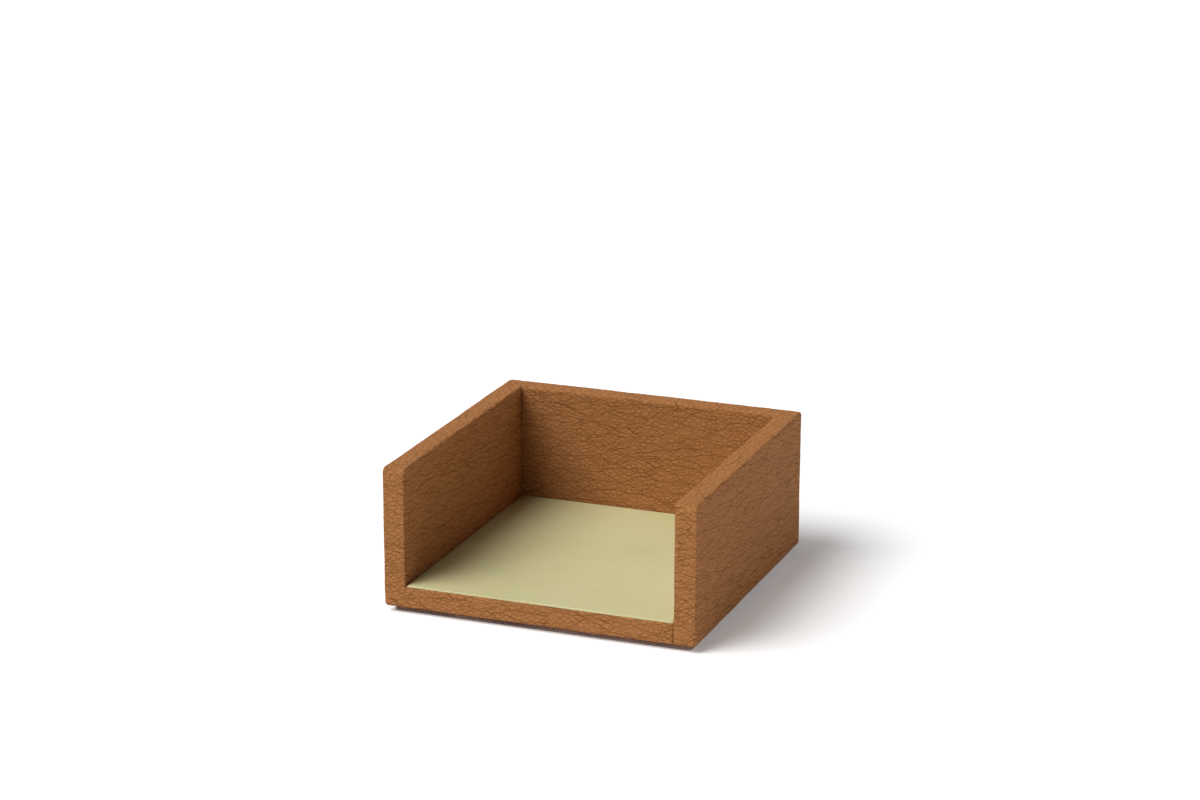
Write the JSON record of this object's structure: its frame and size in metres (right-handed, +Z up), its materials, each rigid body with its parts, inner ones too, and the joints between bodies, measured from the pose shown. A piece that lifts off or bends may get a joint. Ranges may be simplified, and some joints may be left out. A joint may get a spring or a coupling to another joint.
{
  "type": "sticky note holder",
  "caption": "Leather-covered tray for square sticky notes: low walls on both sides and the back, open front and top, smooth lined floor and a felt foot.",
  "frame": {"origin": "middle of the felt pad's underside, on the surface that the holder stands on", "axes": "+X to the right and +Y to the back seen from the open front, +Z up"},
  "size_m": [0.095, 0.095, 0.0436],
  "materials": {
    "cover_leather": "tan pebble-grain leather, semi-matt",
    "carcass_board": "raw fibreboard",
    "brad_steel": "bright drawn wire",
    "grey_card": "uncoated grey card",
    "olive_lining": "smooth olive-yellow lining leather, matt",
    "foot_felt": "dark plum-brown felt"
  },
  "bodies": {
    "root": {"left_wall_leather": "cover_leather", "right_wall_leather": "cover_leather", "back_wall_leather": "cover_leather", "front_edge_leather": "cover_leather", "base_board": "carcass_board", "left_wall_board": "carcass_board", "right_wall_board": "carcass_board", "back_wall_board": "carcass_board", "carcass_brads": "brad_steel", "floor_card": "grey_card", "base_infill_card": "grey_card", "floor_lining": "olive_lining", "base_felt": "foot_felt"}
  },
  "joints": []
}
